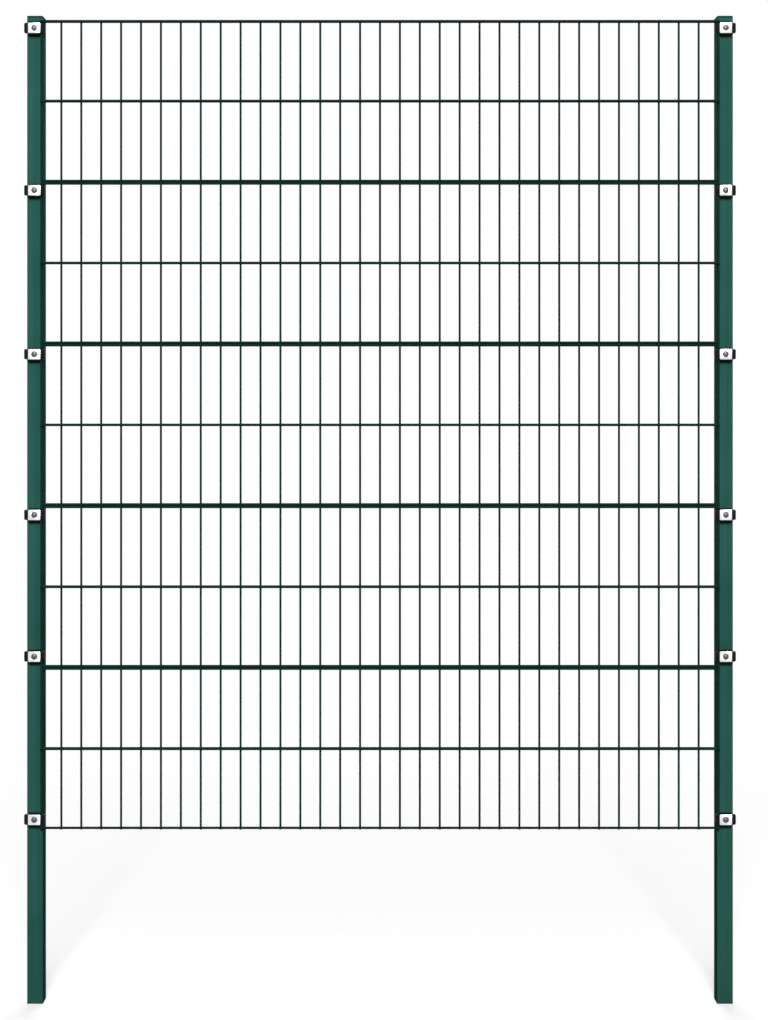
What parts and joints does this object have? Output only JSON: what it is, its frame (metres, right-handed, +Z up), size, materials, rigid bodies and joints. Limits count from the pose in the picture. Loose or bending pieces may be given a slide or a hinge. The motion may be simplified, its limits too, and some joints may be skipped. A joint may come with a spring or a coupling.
{
  "type": "welded mesh fence panel",
  "caption": "Green welded mesh fence bay: stacked wire mesh sections held on two capped tube posts by bolted black clips with bright cover plates.",
  "frame": {"origin": "centre of the left post's foot, on the tube's flat end", "axes": "+X along the fence to the right post, -Y the side that carries the mesh, +Z up the posts"},
  "size_m": [1.7872, 0.077, 2.4846],
  "materials": {
    "post_coat": "satin powder coat",
    "mesh_coat": "satin powder coat",
    "cap_plastic": "moulded, fine grain",
    "clip_plastic": "moulded, satin",
    "zinc_steel": "bright zinc plate"
  },
  "bodies": {
    "root": {"left_post": "post_coat", "left_post_cap": "cap_plastic", "left_clip_1": "clip_plastic", "left_clip_plate_1": "zinc_steel", "left_clip_2": "clip_plastic", "left_clip_plate_2": "zinc_steel", "left_clip_3": "clip_plastic", "left_clip_plate_3": "zinc_steel", "left_clip_4": "clip_plastic", "left_clip_plate_4": "zinc_steel", "left_clip_5": "clip_plastic", "left_clip_plate_5": "zinc_steel", "left_clip_6": "clip_plastic", "left_clip_plate_6": "zinc_steel", "right_post": "post_coat", "right_post_cap": "cap_plastic", "right_clip_1": "clip_plastic", "right_clip_plate_1": "zinc_steel", "right_clip_2": "clip_plastic", "right_clip_plate_2": "zinc_steel", "right_clip_3": "clip_plastic", "right_clip_plate_3": "zinc_steel", "right_clip_4": "clip_plastic", "right_clip_plate_4": "zinc_steel", "right_clip_5": "clip_plastic", "right_clip_plate_5": "zinc_steel", "right_clip_6": "clip_plastic", "right_clip_plate_6": "zinc_steel", "mesh_section_1": "mesh_coat", "mesh_section_2": "mesh_coat", "mesh_section_3": "mesh_coat", "mesh_section_4": "mesh_coat", "mesh_section_5": "mesh_coat"}
  },
  "joints": []
}
